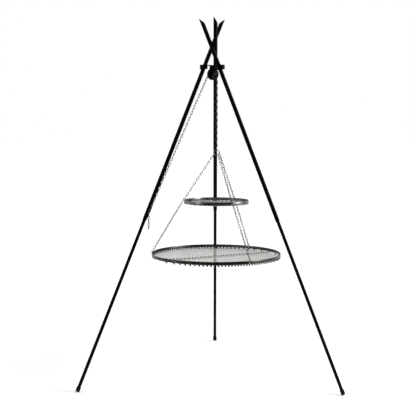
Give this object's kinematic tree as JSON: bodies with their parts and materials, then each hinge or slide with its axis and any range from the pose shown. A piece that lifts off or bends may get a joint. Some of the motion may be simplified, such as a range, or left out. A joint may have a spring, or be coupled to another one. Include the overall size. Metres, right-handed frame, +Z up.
{
  "type": "tripod swing grill",
  "caption": "Three-legged outdoor grill stand whose crossed legs hold a pulley, a chain and two round rod grates, one above the other.",
  "frame": {"origin": "on the ground, in the middle of the space that the grill takes up", "axes": "+Z up, +Y towards the back leg, away from the viewer"},
  "size_m": [1.5648, 1.3714, 2.1967],
  "materials": {
    "black_coat": "satin black powder coat",
    "black_rubber": "matt black",
    "black_bolt": "blackened steel",
    "zinc_chain": "bright zinc plate",
    "raw_steel": "dark hot-rolled steel, part worn bright",
    "rod_steel": "bright drawn rod"
  },
  "bodies": {
    "head": {"head_plate": "black_coat", "collar_back": "black_coat", "collar_left": "black_coat", "collar_right": "black_coat", "hanger_lug": "black_coat", "pulley_cheek_front": "black_coat", "pulley_cheek_back": "black_coat", "sheave_axle": "black_bolt", "sheave_axle_nut": "black_bolt", "hanger_pin": "black_bolt", "hanger_pin_nut": "black_bolt", "chain_over_sheave": "zinc_chain"},
    "leg_back": {"leg_back_upper": "black_coat"},
    "leg_left": {"leg_left_upper": "black_coat", "chain_hook": "black_coat", "pull_chain": "zinc_chain", "chain_tail": "zinc_chain"},
    "leg_right": {"leg_right_upper": "black_coat"},
    "lower_leg_back": {"leg_back_lower": "black_coat", "foot_cap_back": "black_rubber"},
    "lower_leg_left": {"leg_left_lower": "black_coat", "foot_cap_left": "black_rubber"},
    "lower_leg_right": {"leg_right_lower": "black_coat", "foot_cap_right": "black_rubber"},
    "sheave": {"sheave": "black_bolt"},
    "top_link": {"top_link": "zinc_chain"},
    "hoist": {"hoist_chain": "zinc_chain"},
    "lift": {"end_link": "zinc_chain"},
    "grates": {"top_ring": "zinc_chain", "chain_left_upper": "zinc_chain", "chain_left_lower": "zinc_chain", "chain_back_upper": "zinc_chain", "chain_back_lower": "zinc_chain", "chain_front_upper": "zinc_chain", "chain_front_lower": "zinc_chain", "small_grate_rim": "raw_steel", "small_grate_rods": "rod_steel", "small_grate_ring_left": "zinc_chain", "small_grate_ring_back": "zinc_chain", "small_grate_ring_front": "zinc_chain", "big_grate_rim": "raw_steel", "big_grate_rods": "rod_steel", "big_grate_ring_left": "zinc_chain", "big_grate_ring_back": "zinc_chain", "big_grate_ring_front": "zinc_chain"}
  },
  "joints": [
    {"name": "leg_fold_back", "type": "hinge", "parent": "head", "child": "leg_back", "pos_m": [0.02244, -0.16753, 1.911], "axis": [1, 0, 0], "range_deg": [-2, 0]},
    {"name": "leg_fold_left", "type": "hinge", "parent": "head", "child": "leg_left", "pos_m": [-0.04168, -0.22678, 1.911], "axis": [-0.5, 0.866, 0], "range_deg": [-2, 0]},
    {"name": "leg_fold_right", "type": "hinge", "parent": "head", "child": "leg_right", "pos_m": [0.04168, -0.25269, 1.911], "axis": [-0.5, -0.866, 0], "range_deg": [-2, 0]},
    {"name": "leg_plug_back", "type": "slide", "parent": "leg_back", "child": "lower_leg_back", "axis": [0, 0.404, -0.9148], "range_m": [0, 0.1]},
    {"name": "leg_plug_left", "type": "slide", "parent": "leg_left", "child": "lower_leg_left", "axis": [-0.3498, -0.202, -0.9148], "range_m": [0, 0.1]},
    {"name": "leg_plug_right", "type": "slide", "parent": "leg_right", "child": "lower_leg_right", "axis": [0.3498, -0.202, -0.9148], "range_m": [0, 0.1]},
    {"name": "sheave_spin", "type": "hinge", "parent": "head", "child": "sheave", "pos_m": [0.00748, -0.21567, 1.85797], "axis": [0.5103, -0.86, 0], "range_deg": [0, 205]},
    {"name": "grates_swing_side", "type": "hinge", "parent": "head", "child": "top_link", "pos_m": [0.03156, -0.20138, 1.85797], "axis": [0, -1, 0], "range_deg": [-4, 4]},
    {"name": "grates_swing_fore", "type": "hinge", "parent": "top_link", "child": "hoist", "pos_m": [0.03156, -0.20138, 1.83837], "axis": [1, 0, 0], "range_deg": [-4, 4]},
    {"name": "grates_lift", "type": "slide", "parent": "hoist", "child": "lift", "axis": [0, 0, 1], "range_m": [0, 0.1], "deforming": ["hoist_chain"]},
    {"name": "grates_turn", "type": "hinge", "parent": "lift", "child": "grates", "pos_m": [0.03156, -0.20138, 1.382], "axis": [0, 0, 1], "range_deg": [-180, 180]}
  ],
  "couplings": [
    {"joint": "leg_fold_left", "follows": "leg_fold_back", "ratio": 1},
    {"joint": "leg_fold_right", "follows": "leg_fold_back", "ratio": 1},
    {"joint": "sheave_spin", "follows": "grates_lift", "rad_per_m": 35.714}
  ]
}
